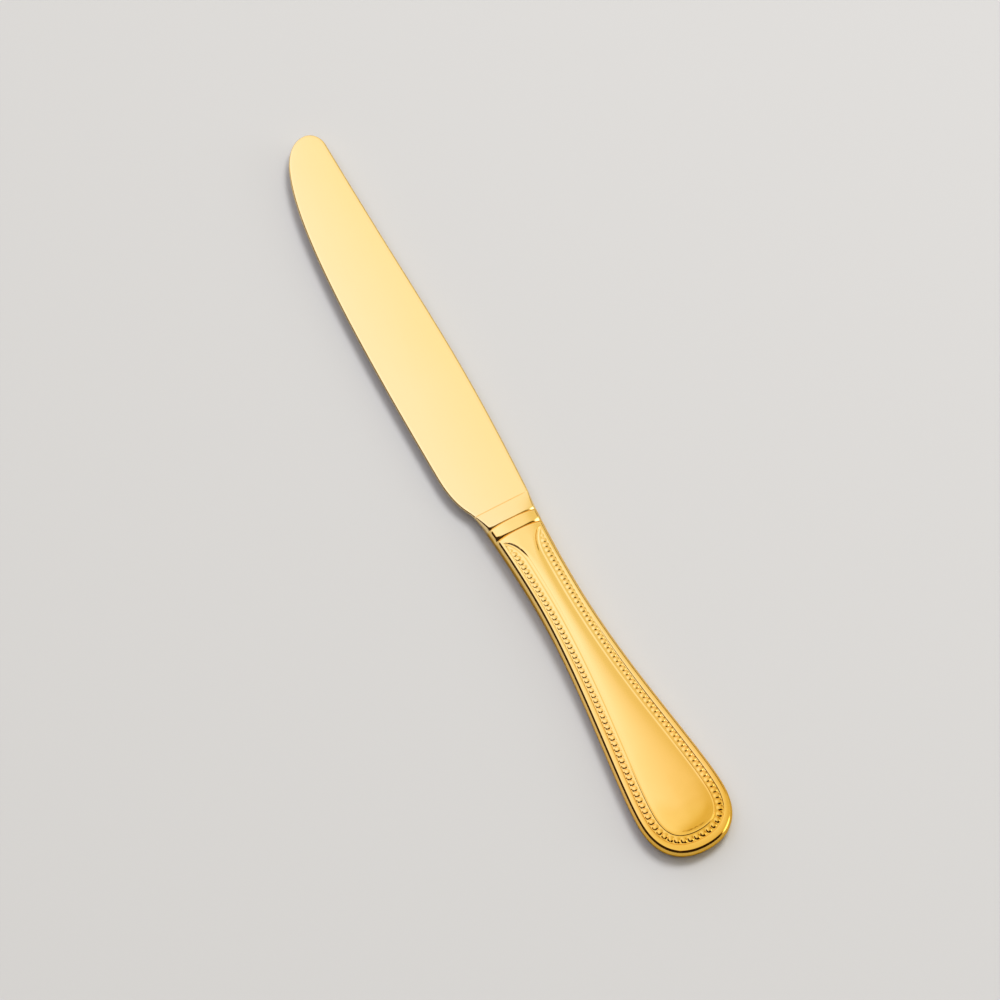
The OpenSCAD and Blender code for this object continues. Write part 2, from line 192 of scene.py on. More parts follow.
# PVD-gold polished stainless steel: a titanium nitride coat over a buffed mirror. The eye gets a clean warm
# reflection, slightly blurred by the buffing, and a colour that deepens in random patches of thicker coat.
# On top of that, painted shade deepens the colour along one axis, towards the handle's butt and the blade's
# spine.
def pvdGold(name, look):
    material = bpy.data.materials.new(name)
    material.use_nodes = True
    tree = material.node_tree
    tree.nodes.clear()
    where = addNode(tree, "ShaderNodeTexCoord")
    places = addNode(tree, "ShaderNodeSeparateXYZ", links={"Vector": (where, "Object")})
    # painted shade: the place along the axis picks a deeper or paler colour from the ramp
    start, end = look["shadeSpan"]
    along = addNode(tree, "ShaderNodeMapRange", inputs={"From Min": start * mm, "From Max": end * mm},
                    links={"Value": (places, look["axis"])})
    clouds = addNode(tree, "ShaderNodeTexNoise",
                     inputs={"Scale": 1 / (look["cloudSize"] * mm), "Detail": 3.0},
                     links={"Vector": (where, "Object")})
    drift = addNode(tree, "ShaderNodeMapRange",
                    inputs={"From Min": noiseLow, "From Max": noiseHigh,
                            "To Min": -look["cloudShift"], "To Max": look["cloudShift"]},
                    links={"Value": (clouds, "Fac")})
    # painted shade along the axis, plus random patches of thicker coat
    shadeAndCoat = addNode(tree, "ShaderNodeMath", {"operation": "ADD"},
                   links={0: (along, "Result"), 1: (drift, "Result")})
    tint = addNode(tree, "ShaderNodeValToRGB", links={"Fac": (shadeAndCoat, "Value")})
    fillRamp(tint, look["colours"])
    stretched = addNode(tree, "ShaderNodeMapping", inputs={"Scale": look["buffStretch"]},
                        links={"Vector": (where, "Object")})
    buffing = addNode(tree, "ShaderNodeTexNoise",
                      inputs={"Scale": 1 / (look["buffSize"] * mm), "Detail": 4.0},
                      links={"Vector": (stretched, "Vector")})
    low, high = look["roughness"]
    rough = addNode(tree, "ShaderNodeMapRange",
                    inputs={"From Min": noiseLow, "From Max": noiseHigh, "To Min": low, "To Max": high},
                    links={"Value": (buffing, "Fac")})
    waves = addNode(tree, "ShaderNodeTexNoise",
                    inputs={"Scale": 1 / (look["waveSize"] * mm), "Detail": 1.0},
                    links={"Vector": (where, "Object")})
    softness = addNode(tree, "ShaderNodeBump",
                       inputs={"Strength": 1.0, "Distance": look["waveHeight"] * mm},
                       links={"Height": (waves, "Fac")})
    lines = addNode(tree, "ShaderNodeBump",
                    inputs={"Strength": 1.0, "Distance": look["buffHeight"] * mm},
                    links={"Height": (buffing, "Fac"), "Normal": (softness, "Normal")})
    metal = addNode(tree, "ShaderNodeBsdfPrincipled",
                    inputs={"Metallic": 1.0, "Specular Tint": linear(look["grazing"])},
                    links={"Base Color": (tint, "Color"), "Roughness": (rough, "Result"),
                           "Normal": (lines, "Normal")})
    addNode(tree, "ShaderNodeOutputMaterial", links={"Surface": (metal, "BSDF")})
    return material


bladeLook = {
    "colours": [(0.0, "#fad992"), (1.0, "#fadca0")],            # painted shade, from the deeper spine to the paler edge
    "axis": "Y",
    "shadeSpan": (-10.0, 8.0),             # mm, over which the painted shade runs
    "grazing": "#fff0d0",             # what the coat mirrors at a flat angle
    "roughness": (0.12, 0.18),
    "cloudSize": 20.0,                # mm, patches of thicker coat
    "cloudShift": 0.08,               # how far they move along the colours
    "buffSize": 0.5,                  # mm between buffing lines; real ones are 0.02, drawn coarser to show
    "buffStretch": (0.06, 1.0, 1.0),
    "buffHeight": 0.0008,             # mm
    "waveSize": 12.0,                 # mm, unevenness left by the grinding
    "waveHeight": 0.003,
}
handleLook = {
    "colours": [(0.0, "#ecba52"), (0.12, "#f3c263"), (0.24, "#f9ca73"), (1.0, "#f9d486")],    # painted shade, from the deeper butt to the paler neck
    "axis": "X",
    # mm, over which the painted shade runs
    "shadeSpan": (-112.0, -50.0),
    "grazing": "#f4cf80",
    "roughness": (0.08, 0.13),
    "cloudSize": 14.0,
    "cloudShift": 0.08,
    "buffSize": 0.5,
    "buffStretch": (0.1, 1.0, 1.0),
    "buffHeight": 0.0008,
    "waveSize": 9.0,                  # softness of the pressed sheet
    "waveHeight": 0.004,
}


# Cement filling, trowelled in wet and set: dull grey with sandy grains, seen only when the handle is opened
def cement(name):
    look = {"grain": 0.8, "grainHeight": 0.12, "colours": [(0.35, "#8d887c"), (0.65, "#b3aea2")]}
    material = bpy.data.materials.new(name)
    material.use_nodes = True
    tree = material.node_tree
    tree.nodes.clear()
    where = addNode(tree, "ShaderNodeTexCoord")
    grains = addNode(tree, "ShaderNodeTexNoise", inputs={"Scale": 1 / (look["grain"] * mm), "Detail": 5.0},
                     links={"Vector": (where, "Object")})
    tint = addNode(tree, "ShaderNodeValToRGB", links={"Fac": (grains, "Fac")})
    fillRamp(tint, look["colours"])
    pits = addNode(tree, "ShaderNodeBump", inputs={"Strength": 1.0, "Distance": look["grainHeight"] * mm},
                   links={"Height": (grains, "Fac")})
    paste = addNode(tree, "ShaderNodeBsdfPrincipled", inputs={"Roughness": 0.9},
                    links={"Base Color": (tint, "Color"), "Normal": (pits, "Normal")})
    addNode(tree, "ShaderNodeOutputMaterial", links={"Surface": (paste, "BSDF")})
    return material


bladeGold = pvdGold("PVD-gold mirror-buffed blade steel", bladeLook)
handleGold = pvdGold("PVD-gold polished handle steel", handleLook)
cementGrey = cement("Set cement filling")
print("materials made")


# welding distances in mm, and the angle in degrees past which a corner stays crisp
meshing = {"weld": 0.0005, "sliver": 0.0002, "crispAngle": 48}


def finishPiece(name, bm, material, node):
    bmesh.ops.remove_doubles(bm, verts=bm.verts, dist=meshing["weld"])
    bmesh.ops.dissolve_degenerate(bm, edges=bm.edges, dist=meshing["sliver"])
    bmesh.ops.recalc_face_normals(bm, faces=bm.faces)
    bm.transform(lay)
    mesh = bpy.data.meshes.new(name)
    bm.to_mesh(mesh)
    bm.free()
    mesh.shade_smooth()
    mesh.set_sharp_from_angle(angle=math.radians(meshing["crispAngle"]))
    mesh.materials.append(material)
    piece = bpy.data.objects.new(name, mesh)
    bpy.context.scene.collection.objects.link(piece)
    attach(piece, "root")
    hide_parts(node)
    print("piece made:", name, len(mesh.polygons), "faces")
    return piece


def addPoints(bm, points):
    return [bm.verts.new(p) for p in points]


def addStrip(bm, first, second, closed=False):
    count = len(first) if closed else len(first) - 1
    for k in range(count):
        m = (k + 1) % len(first)
        corners = [first[k], first[m], second[m], second[k]]
        if len(set(corners)) == 4:
            bm.faces.new(corners)


# Stations along the handle's outline, one row each:
# outline x, outline y, inwards x, inwards y for one mm of inset, reach to the middle, crown height
flankRun = waistX - handle["endFromButt"]
flankCurve = [
    (waistX, waistHalf),
    (waistX - handle["flankFullness"][0] * flankRun, waistHalf),
    (handle["endFromButt"] + handle["flankFullness"][1] * flankRun, endHalf),
    (handle["endFromButt"], endHalf),
]
buttCurve = [
    (handle["endFromButt"], endHalf),
    (handle["endFromButt"] * (1 - handle["buttFullness"][0]), endHalf),
    (0, endHalf * handle["buttFullness"][1]),
    (0, 0),
]


def neckStations(x):
    reach = neckReach(x)
    return np.column_stack([x, reach, 0 * x, -np.hypot(1, neckSlope(x)), reach, crown(x)])


def flankStations(t):
    p = cubic(flankCurve, t)
    d = cubicWay(flankCurve, t)
    inwards = -np.hypot(d[:, 0], d[:, 1]) / np.abs(d[:, 0])
    return np.column_stack([p, 0 * t, inwards, p[:, 1], crown(p[:, 0])])


def buttStations(t):
    p = cubic(buttCurve, t)
    d = cubicWay(buttCurve, t)
    d = d / np.hypot(d[:, 0], d[:, 1])[:, None]
    return np.column_stack([p, -d[:, 1], d[:, 0], 0 * t + endHalf, 0 * t + buttCrown])


# border: rim, beads in a channel, a thread, a cove and the raised centre panel
border = {
    "rimWidth": (2.0, 1.4),           # near the butt and towards the neck
    "buttRim": 0.5,                   # more rim at the butt
    "buttPanel": 0.35,                # and more inset of the panel
    "rimShare": 0.45,                 # most of the border that the rim takes at the shoulder
    "slope": (0.12, 0.085),           # rise of the border towards the panel
    "channelWidth": 2.35,
    "beadWidth": 1.75,                # most, across the row
    "channelDepth": (0.25, 0.1),      # along the rim, near the butt and towards the neck
    "channelInner": (0.13, 0.01),     # along the thread
    "innerChange": (8.0, 34.0),       # x between which that changes
    "floorChange": (0.6, 1.0),        # from the one to the other, in shares of the width
    "channelWall": 0.32,              # width of the wall at the rim
    "wallShare": 0.09,                # of the channel's width, with closer points for that wall
    "bandWidth": (1.1, 1.4),          # thread and cove together
    "bandSteps": (0.16, 0.45),        # shares of the band at the thread's crest and the cove's floor
    "threadTop": 0.03,                # over the border
    "coveFloor": 0.05,                # below it
    "coveRise": (0.02, 0.12, 0.46),   # up to the panel, near the butt, towards the neck and at the shoulder
    "coveChange": (91.0, 95.5),       # x between which it grows
    "panelSlope": (0.14, 0.2),        # of the panel at its edge, near the butt and along the handle
    "panelChange": (15.0, 50.0),      # x between which that changes
    "rollDepth": (0.06, 0.43),        # how far its edge rolls down, along the handle and at the butt
    "rollWidth": (0.8, 1.05),
    "rollChange": (12.0, 6.5),        # x between which these change
    "rollFade": 4.0,                  # the roll fades out over this, up to the shoulder
    "leastShare": 0.02,               # of the border, where the panel's edge still shows
    "shoulderLength": 7.8,            # round end of the border at the neck
    "shoulderFromMouth": 1.6,
    "firstBead": 2.2,                 # from the shoulder
    "pitch": ((0, 12, 44, 48), (1.78, 1.66, 1.64, 1.48)),     # along the row from the butt, mm
    "beadGap": 0.1,
    "beadBase": 0.9,                  # share of the channel's depth where the beads start
    "leastBead": 0.05,                # half width
    "beadRise": 0.45,                 # height over half the width of a bead
    "beadAcross": (0.74, 1.0),        # 1 is a round dome, less is fuller across the row; flanks and butt
    # rows of points from bead to bead, close together at the gap
    "beadRows": (0, 0.21, 0.32, 0.4, 0.465, 0.535, 0.6, 0.68, 0.79),
}
shoulderX = mouthX - border["shoulderFromMouth"]
shoulderEnd = shoulderX - border["shoulderLength"]


def neckShare(x):
    return ease(shoulderX - neck["blendLength"], shoulderX, x)


def alongSide(pair, x):
    return pair[0] + (pair[1] - pair[0]) * ease(*handle["sideChange"], x)


roundSteps = 5                                                  # points on each rounding of the side


def sideProfile(shape):
    v, z = [sideHair], [0.0]
    for start, end, radius in zip(shape["tilts"], shape["tilts"][1:], shape["radii"]):
        a, b = math.radians(start), np.radians(np.linspace(start, end, roundSteps + 1)[1:])
        z += list(z[-1] + radius * (np.cos(b) - math.cos(a)))
        v += list(v[-1] + radius * (math.sin(a) - np.sin(b)))
    upright = shape["height"] - z[-1]
    return np.array(v[:1] + v), np.array([0.0] + [h + upright for h in z])


buttInset, buttHeight = sideProfile(handle["buttSide"])
neckInset, neckHeight = sideProfile(handle["neckSide"])
bevelEnd = len(neckInset) - roundSteps - 1                      # last point before the rim's edge
bevelInset, bevelHeight = neckInset[bevelEnd], neckHeight[bevelEnd]


def panelEdge(stations):
    x = stations[:, 0]
    panelInset = (alongSide(border["rimWidth"], x) + border["channelWidth"]
                  + alongSide(border["bandWidth"], x))
    share = np.clip((x - shoulderEnd) / border["shoulderLength"], 0, 1)
    return (neckInset[-1] + (panelInset - neckInset[-1]) * np.sqrt(1 - share ** 2)
            + border["buttPanel"] * stations[:, 2] ** 2)


def rimEnd(stations):
    rim = alongSide(border["rimWidth"], stations[:, 0]) + border["buttRim"] * stations[:, 2] ** 2
    return np.minimum(rim, neckInset[-1] + border["rimShare"] * (panelEdge(stations) - neckInset[-1]))


def channelEnd(stations):
    moreRim = (border["buttRim"] - border["buttPanel"]) * stations[:, 2] ** 2
    band = alongSide(border["bandWidth"], stations[:, 0])
    return np.maximum(rimEnd(stations), panelEdge(stations) - band + moreRim)


def borderShare(stations):
    band = alongSide(border["bandWidth"], stations[:, 0])
    return np.clip((panelEdge(stations) - rimEnd(stations)) / band, 0, 1)


def neckArch(stations, inset):
    reach, top = stations[:, 4], stations[:, 5] - topHair
    across = np.clip((reach - inset) / (reach - bevelInset), 0, 1)
    return bevelHeight + (top - bevelHeight) * (1 - across ** neck["archPower"])


def drawnIn(stations, x, y, z):
    q = grooveInset(mouthX - stations[:, 0], np.abs(y) / stations[:, 4])
    return np.column_stack([x, y, z * (1 - q / stations[:, 5])])


def atInset(stations, inset):
    return stations[:, 0] + inset * stations[:, 2], stations[:, 1] + inset * stations[:, 3]


def placeRows():
    t = np.linspace(1, 0, 1500)
    dense = np.vstack([
        buttStations(t),
        flankStations(t)[1:],
        neckStations(np.linspace(waistX, mouthX, 1200))[1:],
    ])
    pathX, pathY = atInset(dense, (rimEnd(dense) + channelEnd(dense)) / 2)
    run = np.concatenate([[0], np.cumsum(np.hypot(np.diff(pathX), np.diff(pathY)))])
    lastRun = np.interp(shoulderX - border["firstBead"], dense[:, 0], run)
    beadRuns = [border["pitch"][1][0] / 2]                      # a gap on the axis
    while beadRuns[-1] < lastRun:
        beadRuns.append(beadRuns[-1] + np.interp(beadRuns[-1], *border["pitch"]))
    beadRuns.pop()
    beads = []                                                  # x, y, half width, direction of the row
    wayX, wayY = np.gradient(pathX, run), np.gradient(pathY, run)
    channel = channelEnd(dense) - rimEnd(dense)
    for place in beadRuns:
        pitch = np.interp(place, *border["pitch"])
        room = np.interp(place, run, channel) - border["channelWidth"] + border["beadWidth"]
        radius = min(pitch - border["beadGap"], room) / 2
        beads.append([np.interp(place, run, line) for line in (pathX, pathY)] + [radius]
                     + [np.interp(place, run, line) for line in (wayX, wayY)])
    x, y, radius, wayX, wayY = beads[0]
    beads.append([x, -y, radius, -wayX, wayY])                  # neighbour across the axis
    steps = np.array(border["beadRows"])
    rowRuns = [beadRuns[0] * (2 * steps[steps >= 0.5] - 1)]
    rowRuns[0][0] = 0                                           # on the axis
    rowRuns += [a + (b - a) * steps for a, b in zip(beadRuns, beadRuns[1:])]
    lastX = np.interp(beadRuns[-1], run, dense[:, 0])
    grooveX = mouthX - neck["grooveSide"][0]
    lastXs = np.concatenate([
        np.linspace(lastX, grooveX, 34, endpoint=False),
        np.linspace(grooveX, mouthX, neck["grooveRows"]),
    ])
    rowRuns.append(np.interp(lastXs, dense[:, 0], run))
    rowRuns = np.concatenate(rowRuns)
    rows = np.column_stack([np.interp(rowRuns, run, dense[:, k]) for k in range(dense.shape[1])])
    return rows, np.array(beads)


def shellColumns(rows, beads):
    columns = []
    x0 = rows[:, 0]
    rim, end, edge = rimEnd(rows), channelEnd(rows), panelEdge(rows)
    share, toNeck = borderShare(rows), neckShare(rows[:, 0])

    def addColumn(inset, z):
        x, y = atInset(rows, inset)
        columns.append(drawnIn(rows, x, y, z))

    def arched(inset, z):
        return z + toNeck * (neckArch(rows, inset) - z)

    sideShare = ease(*handle["sideChange"], x0)
    for k in range(len(neckInset)):                             # side
        sideV = buttInset[k] + (neckInset[k] - buttInset[k]) * sideShare
        sideZ = buttHeight[k] + (neckHeight[k] - buttHeight[k]) * sideShare
        addColumn(sideV, sideZ if k <= bevelEnd else arched(sideV, sideZ))
    climb, bend = handle["rimCurve"]
    for u in np.linspace(0, 1, 6)[1:]:                          # rim
        inset = sideV + u * (rim - sideV)
        rimFlat = sideZ + (rim - sideV) * (climb * u - bend * u ** 2)
        rimZ = arched(inset, rimFlat)
        addColumn(inset, rimZ)

    # the border is a plane from the rim to the foot of the cove
    lowCove, highCove = alongSide(border["coveRise"][:2], x0), border["coveRise"][2]
    flatEdge = rimFlat + alongSide(border["slope"], x0) * (edge - rim) + lowCove
    edgeZ = arched(edge, flatEdge)
    atShoulder = ease(*border["coveChange"], x0)
    bandShare = np.clip((edge - end) / alongSide(border["bandWidth"], x0), 0, 1)
    cove = (lowCove + (highCove - lowCove) * atShoulder) * bandShare
    lean = (edgeZ - cove - rimZ) / np.maximum(edge - rim, 0.001)
    depth = share * alongSide(border["channelDepth"], x0)
    high, low = border["channelInner"]
    inner = share * (high + (low - high) * ease(*border["innerChange"], x0))
    wall = border["channelWall"]
    flank, butt = border["beadAcross"]
    fuller = flank + (butt - flank) * beads[:, 4] ** 2
    wallEnd = border["wallShare"]
    for u in np.concatenate([np.linspace(0, wallEnd, 4)[1:], np.linspace(wallEnd, 1, 15)[1:]]):
        inset = rim + u * (end - rim)                           # channel with its beads
        x, y = atInset(rows, inset)
        floor = depth + (inner - depth) * ease(*border["floorChange"], u)
        z = rimZ + lean * (inset - rim) - floor * ease(0, wall, inset - rim)
        offX, offY = x[:, None] - beads[None, :, 0], y[:, None] - beads[None, :, 1]
        alongRow = offX * beads[:, 3] + offY * beads[:, 4]
        acrossRow = offX * beads[:, 4] - offY * beads[:, 3]
        near = np.hypot(alongRow, fuller * acrossRow)
        k = np.argmin(near / np.maximum(beads[:, 2], border["leastBead"]), axis=1)
        distance, half = near[np.arange(len(x)), k], beads[k, 2]
        rise = border["beadRise"] * half
        ball = (half ** 2 + rise ** 2) / (2 * rise)
        dome = np.sqrt(np.maximum(ball ** 2 - distance ** 2, 0)) - (ball - rise)
        floorZ = rimZ + lean * (inset - rim) - border["beadBase"] * depth
        addColumn(inset, np.where(distance < half, np.maximum(z, floorZ + dome), z))
    crest, valley = border["bandSteps"]
    top, bottom = share * border["threadTop"], share * border["coveFloor"]
    for u in np.concatenate([np.linspace(0, crest, 4)[1:], np.linspace(crest, valley, 5)[1:],
                             np.linspace(valley, 1, 9)[1:]]):   # thread and cove
        inset = end + u * (edge - end)
        fall = np.clip((u - crest) / (valley - crest), 0, 1)
        climb = np.clip((u - valley) / (1 - valley), 0, 1) ** (2 + atShoulder)
        relief = (top + inner) * ease(0, crest, u) - inner - (top + bottom) * fall + (bottom + cove) * climb
        addColumn(inset, rimZ + lean * (inset - rim) + relief)

    # centre panel, crowned across, rounded off at the butt, rolled down along its edge
    edgeX, edgeY = atInset(rows, edge)
    toButt = np.clip((handle["endFromButt"] - edgeX) / (handle["endFromButt"] - edgeX[0]), 0, 1)
    low, high = border["panelSlope"]
    slope = low + (high - low) * ease(*border["panelChange"], x0)
    flatTop = flatEdge + slope * (rows[:, 4] - edge) / 2
    ridge = flatTop + toNeck * (rows[:, 5] - topHair - flatTop)
    ridge = edgeZ + (ridge - edgeZ) * (1 - toButt ** 2)
    lines = share > border["leastShare"]
    for k in np.linspace(1, 0, 13)[1:]:
        x, y = edgeX, edgeY * k
        away = np.min(np.hypot(x[:, None] - edgeX[None, lines], y[:, None] - edgeY[None, lines]), axis=1)
        toEnd = ease(*border["rollChange"], x)
        depth, width = [a + (b - a) * toEnd for a, b in (border["rollDepth"], border["rollWidth"])]
        fade = ease(shoulderX, shoulderX - border["rollFade"], x)
        roll = depth * (1 - np.exp(-away / width)) * fade
        power = 2 + (neck["archPower"] - 2) * toNeck
        z = np.minimum(edgeZ + (ridge - edgeZ) * (1 - k ** power) + roll, rows[:, 5] - topHair)
        columns.append(drawnIn(rows, x, y, z))
    return columns


# cavity: what the shells leave free for the cement and the collar's spigot
cavity = {
    "edge": 2.0,                      # in from the outline, where the crown has come down
    "edgeHeight": 2.0,                # to this
    "drop": 0.4,                      # below the crown, besides the wall
    "across": (1, 0.96, 0.85, 0.6, 0.3, 0),                     # shares of the half width
    "fullness": (0, 0.6, 1, 1, 1, 1),                           # and of the height there
}


def cavityColumns(rows, clear=0.0):
    wall = handle["wall"]
    x, y = atInset(rows, wall)
    toButt = np.clip((handle["endFromButt"] - x) / (handle["endFromButt"] - wall), 0, 1)
    inner = rows[:, 4] - cavity["edge"]
    drop = cavity["drop"] + wall
    low = cavity["edgeHeight"]
    columns = []
    for across, fullness in zip(cavity["across"], cavity["fullness"]):
        reach = np.maximum(y - clear, 0) * across
        share = np.minimum(1, toButt ** 2 + (1 - toButt ** 2) * (reach / inner) ** 2)
        z = (low + (rows[:, 5] - low) * (1 - share) - drop) * np.sqrt(1 - toButt ** 2)
        columns.append(np.column_stack([x, reach, np.maximum(0, z * fullness - clear)]))
    return columns


def bothSides(columns):
    return columns + [column * (1, -1, 1) for column in columns[-2::-1]]


def makeShell(name, node, face, rows, beads):
    outer = np.stack(bothSides(shellColumns(rows, beads)), axis=1) * (1, 1, face)
    inner = np.stack(bothSides(cavityColumns(rows)), axis=1) * (1, 1, face)
    bm = bmesh.new()
    outerRows = [addPoints(bm, row) for row in outer]
    innerRows = [addPoints(bm, row) for row in inner]
    for k in range(len(outerRows) - 1):
        addStrip(bm, outerRows[k], outerRows[k + 1])
        addStrip(bm, innerRows[k + 1], innerRows[k])
        for side in (0, -1):                                    # seam face on the mid-plane
            bm.faces.new([outerRows[k][side], innerRows[k][side],
                          innerRows[k + 1][side], outerRows[k + 1][side]])
    bm.faces.new(outerRows[-1] + innerRows[-1][::-1])           # mouth
    return finishPiece(name, bm, handleGold, node)


rows, beads = placeRows()
makeShell("beaded_front_shell", "front_shell", 1, rows, beads)
makeShell("beaded_back_shell", "back_shell", -1, rows, beads)


def neckSection(x, bevel=1.0):
    reach = neckReach(x)
    across = np.linspace(1, 0, 26)[1:]
    y = np.concatenate([reach - bevel * neckInset[:bevelEnd + 1], (reach - bevel * bevelInset) * across])
    arch = bevelHeight + (neckCrown - topHair - bevelHeight) * (1 - across ** neck["archPower"])
    return np.column_stack([0 * y + x, y, np.concatenate([neckHeight[:bevelEnd + 1], arch])])


def grooved(section, distance):
    reach = section[0, 1]
    q = grooveInset(distance, np.abs(section[:, 1]) / reach)
    return np.column_stack([section[:, 0], section[:, 1], section[:, 2] * (1 - q / neckCrown)])


def ringOf(half):
    top = np.vstack([half, half[-2::-1] * (1, -1, 1)])
    return np.vstack([top, top[-2:0:-1] * (1, 1, -1)])


def loopEdges(bm, ring):
    pairs = [(ring[k - 1], ring[k]) for k in range(len(ring))]
    return [bm.edges.get(pair) or bm.edges.new(pair) for pair in pairs]


tang = {"length": 58.0, "width": 4.6, "thickness": 2.4}


def makeCollar():
    bm = bmesh.new()
    grooveSteps = np.linspace(0, neck["grooveSide"][0], neck["grooveRows"])
    xs = np.concatenate([mouthX + grooveSteps, neckX - grooveSteps[::-1]])
    bands = [addPoints(bm, ringOf(grooved(neckSection(x), min(x - mouthX, neckX - x)))) for x in xs]
    for k in range(len(bands) - 1):
        addStrip(bm, bands[k], bands[k + 1], closed=True)
    spigotXs = np.linspace(mouthX - neck["spigotLength"], mouthX, 12)
    plugs = np.stack(cavityColumns(neckStations(spigotXs), neck["fitClearance"]), axis=1)
    spigot = [addPoints(bm, ringOf(plug)) for plug in plugs]
    for k in range(len(spigot) - 1):
        addStrip(bm, spigot[k], spigot[k + 1], closed=True)
    bmesh.ops.bridge_loops(bm, edges=loopEdges(bm, spigot[-1]) + loopEdges(bm, bands[0]))
    high = tang["thickness"] / 2 + neck["fitClearance"]
    wide = tang["width"] / 2 + neck["fitClearance"]
    slots = [addPoints(bm, [(x, wide, high), (x, -wide, high), (x, -wide, -high), (x, wide, -high)])
             for x in (spigotXs[0], neckX)]
    addStrip(bm, slots[0], slots[1], closed=True)
    for slot, ring in zip(slots, (spigot[0], bands[-1])):
        bmesh.ops.bridge_loops(bm, edges=loopEdges(bm, slot) + loopEdges(bm, ring))
    return finishPiece("grooved_collar", bm, handleGold, "collar")


makeCollar()

# blade: flat wedge with a blunt bevelled edge, a curved heel and a round tip
blade = {
    "length": 125.5,                  # foot of the bolster to the tip
    "edgeReach": 11.4,
    "spineReach": 10.2,
    "spineThickness": 2.2,
    "edgeThickness": 0.8,
    "tipDrop": 5.2,                   # foremost point, from the axis towards the spine
    "tipRise": 0.6,                   # how far the spine comes in at the tip
    "tipCorner": 5.3,                 # length of the rounding between them
    "heelLength": 15.0,
    "heelFullness": (0.15, 0.69),
    "bellyFullness": (0.55, 0.88),
    "spineFullness": (0.53, 0.41),
    "edgeRound": 0.5,                 # all round the plate
    "bevelWidth": 1.1,                # soft bevel of the blunt edge
    "bevelDrop": 0.1,
}
tipX = footX + blade["length"]


def bladeHalf(y):
    share = (y + blade["spineReach"]) / (blade["spineReach"] + blade["edgeReach"])
    return (blade["spineThickness"] + (blade["edgeThickness"] - blade["spineThickness"]) * share) / 2


def bladeOutline():
    rootX = footX - neck["bolsterLength"] / 2
    rootHalf = neckReach(rootX) - neckInset[-1]
    footHalf = neckReach(footX)
    edge, drop = blade["edgeReach"], blade["tipDrop"]
    heelX = footX + blade["heelLength"]
    heelStart = blade["heelLength"] * blade["heelFullness"][0]
    heel = [(footX, footHalf), (footX + heelStart, footHalf + heelStart * neckSlope(footX)),
            (heelX - blade["heelLength"] * blade["heelFullness"][1], edge), (heelX, edge)]
    bellyRun = tipX - heelX
    belly = [(heelX, edge), (heelX + bellyRun * blade["bellyFullness"][0], edge),
             (tipX, edge - (edge + drop) * (1 - blade["bellyFullness"][1])), (tipX, -drop)]
    spineStart = tipX - blade["tipCorner"]
    spineEnd = blade["spineReach"] - blade["tipRise"]
    arc = 0.5523                                                # quarter arc as a cubic
    tip = [(tipX, -drop), (tipX, -drop - arc * (spineEnd - drop)),
           (tipX - blade["tipCorner"] * (1 - arc), -spineEnd), (spineStart, -spineEnd)]
    spineRun = spineStart - footX
    fullest = (4 * spineEnd + footHalf - 8 * blade["spineReach"]) / 3
    spine = [(spineStart, -spineEnd), (spineStart - spineRun * blade["spineFullness"][0], -spineEnd),
             (footX + spineRun * blade["spineFullness"][1], fullest), (footX, -footHalf)]
    steps = (40, 90, 30, 60)
    curves = [cubic(c, np.linspace(0, 1, n + 1)[1:]) for c, n in zip((heel, belly, tip, spine), steps)]
    return np.vstack([[(rootX, rootHalf), (footX, footHalf)], *curves, [(rootX, -rootHalf)]])


def addPlate(bm):
    line = bladeOutline()
    way = np.roll(line, -1, axis=0) - np.roll(line, 1, axis=0)
    way = way / np.hypot(way[:, 0], way[:, 1])[:, None]
    inwards = np.column_stack([way[:, 1], -way[:, 0]])
    # rings of points, in from the outline, close together on the rounded edge
    insets = [0, 0.015, 0.06, 0.13, 0.21, 0.3, 0.45, 0.6, 0.8, blade["bevelWidth"]]
    for face in (1, -1):
        rings = []
        for inset in insets:
            p = line + inset * inwards
            rounding = math.sqrt(1 - (1 - min(1, inset / blade["edgeRound"])) ** 2)
            bevel = blade["bevelDrop"] * (1 - inset / blade["bevelWidth"]) ** 2 * rounding
            z = face * (bladeHalf(p[:, 1]) * rounding - bevel)
            rings.append(addPoints(bm, np.column_stack([p, z])))
        for k in range(len(rings) - 1):
            addStrip(bm, rings[k], rings[k + 1], closed=True)
        bm.faces.new(rings[-1])


def addBolster(bm):
    grooveEnd = neck["grooveSide"][0] / neck["bolsterLength"]
    grooveSteps = np.linspace(0, grooveEnd, neck["grooveRows"], endpoint=False)
    footStart, footHeight = neck["rampFoot"]
    steps = np.concatenate([
        grooveSteps,
        np.linspace(grooveSteps[-1], footStart, 36)[1:],
        np.linspace(footStart, 1, 6)[1:],
    ])
    rings = []
    for s in steps:
        x = neckX + s * neck["bolsterLength"]
        swell = 1 - (1 - footHeight) * (s / footStart) ** neck["rampRounding"]
        if s > footStart:
            swell = footHeight * (1 - s) / (1 - footStart)
        half = neckSection(x, math.sqrt(max(swell, neck["leastSwell"])))
        thin = np.sqrt(1 - (1 - np.minimum(1, (half[0, 1] - half[:, 1]) / blade["edgeRound"])) ** 2)
        upper = np.vstack([half, half[-2::-1] * (1, -1, 1)])
        thin = np.concatenate([thin, thin[-2::-1]])
        upper[:, 2] = swell * upper[:, 2] + (1 - swell) * bladeHalf(upper[:, 1]) * thin
        upper = grooved(upper, neck["bolsterGroove"] * (x - neckX))
        rings.append(addPoints(bm, np.vstack([upper, upper[-2:0:-1] * (1, 1, -1)])))
    for k in range(len(rings) - 1):
        addStrip(bm, rings[k], rings[k + 1], closed=True)
    bm.faces.new(rings[0])
    bm.faces.new(rings[-1])


